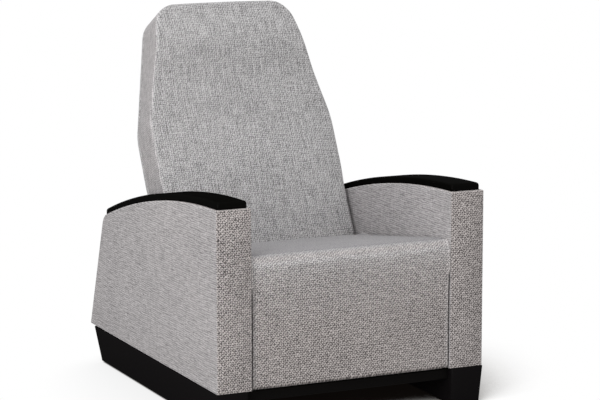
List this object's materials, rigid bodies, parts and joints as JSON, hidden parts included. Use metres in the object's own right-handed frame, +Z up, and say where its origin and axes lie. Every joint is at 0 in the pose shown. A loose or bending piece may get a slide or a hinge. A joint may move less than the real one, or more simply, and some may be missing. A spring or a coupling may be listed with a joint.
{
  "type": "healthcare recliner",
  "caption": "Upholstered push-back recliner with padded arms, black arm caps and plinths, a shaped back, and a seat and footrest that move as the back reclines.",
  "frame": {"origin": "middle of the footprint's bounding box, on the floor", "axes": "+Z up, -Y the way the chair faces, +X to the right as seen from the front"},
  "size_m": [0.795, 0.9882, 1.0559],
  "materials": {
    "woven_fabric": "matte",
    "webbing": "matte",
    "moulding": "satin",
    "painted_wood": "satin",
    "nylon": "satin",
    "black_steel": "satin",
    "zinc_steel": "satin",
    "plywood": "matte"
  },
  "bodies": {
    "base": {"left_plinth": "painted_wood", "right_plinth": "painted_wood", "left_front_glide": "nylon", "right_front_glide": "nylon", "left_rear_glide": "nylon", "right_rear_glide": "nylon", "left_arm_frame": "plywood", "right_arm_frame": "plywood", "left_arm_cover": "woven_fabric", "right_arm_cover": "woven_fabric", "left_arm_cap": "moulding", "right_arm_cap": "moulding", "left_seat_runner": "zinc_steel", "right_seat_runner": "zinc_steel", "left_back_pivot_bolt": "zinc_steel", "right_back_pivot_bolt": "zinc_steel", "front_cross_rail": "black_steel", "rear_cross_rail": "black_steel"},
    "back": {"back_cushion": "woven_fabric", "back_frame": "plywood", "back_panel": "woven_fabric", "back_strap_1": "webbing", "back_strap_2": "webbing", "back_strap_3": "webbing", "back_strap_4": "webbing", "left_back_plate": "zinc_steel", "right_back_plate": "zinc_steel", "left_seat_pin": "zinc_steel", "right_seat_pin": "zinc_steel", "left_drive_pin": "zinc_steel", "right_drive_pin": "zinc_steel"},
    "seat": {"seat_cushion": "woven_fabric", "seat_frame": "plywood", "seat_strap_1": "webbing", "seat_strap_2": "webbing", "seat_strap_3": "webbing", "seat_strap_4": "webbing", "hinge_upper_leaf": "zinc_steel", "hinge_pin": "zinc_steel", "left_side_plate": "zinc_steel", "right_side_plate": "zinc_steel", "left_seat_slider": "nylon", "right_seat_slider": "nylon", "left_front_guide_pin": "zinc_steel", "right_front_guide_pin": "zinc_steel", "left_rear_guide_pin": "zinc_steel", "right_rear_guide_pin": "zinc_steel"},
    "footrest": {"footrest_board": "plywood", "footrest_cushion": "woven_fabric", "hinge_lower_leaf": "zinc_steel", "left_footrest_crank": "zinc_steel", "right_footrest_crank": "zinc_steel"},
    "left_bar": {"left_drive_bar": "zinc_steel", "left_bar_pin": "zinc_steel"},
    "right_bar": {"right_drive_bar": "zinc_steel", "right_bar_pin": "zinc_steel"}
  },
  "joints": [
    {"name": "back_recline", "type": "hinge", "parent": "base", "child": "back", "pos_m": [0, 0.16276, 0.44006], "axis": [-1, 0, 0], "range_deg": [0, 30]},
    {"name": "seat_glide", "type": "slide", "parent": "base", "child": "seat", "axis": [0, -0.989, 0.1478], "range_m": [0, 0.05696]},
    {"name": "footrest_swing", "type": "hinge", "parent": "seat", "child": "footrest", "pos_m": [0, -0.49011, 0.3785], "axis": [-1, 0, 0], "range_deg": [0, 78]},
    {"name": "left_bar_slide", "type": "slide", "parent": "seat", "child": "left_bar", "axis": [0, -0.989, 0.1478], "range_m": [0, 0.09061]},
    {"name": "right_bar_slide", "type": "slide", "parent": "seat", "child": "right_bar", "axis": [0, -0.989, 0.1478], "range_m": [0, 0.09061]}
  ],
  "couplings": [
    {"joint": "seat_glide", "follows": "back_recline", "m_per_rad": 0.10875},
    {"joint": "footrest_swing", "follows": "back_recline", "ratio": 2.6},
    {"joint": "left_bar_slide", "follows": "back_recline", "m_per_rad": 0.17301},
    {"joint": "right_bar_slide", "follows": "back_recline", "m_per_rad": 0.17301}
  ]
}
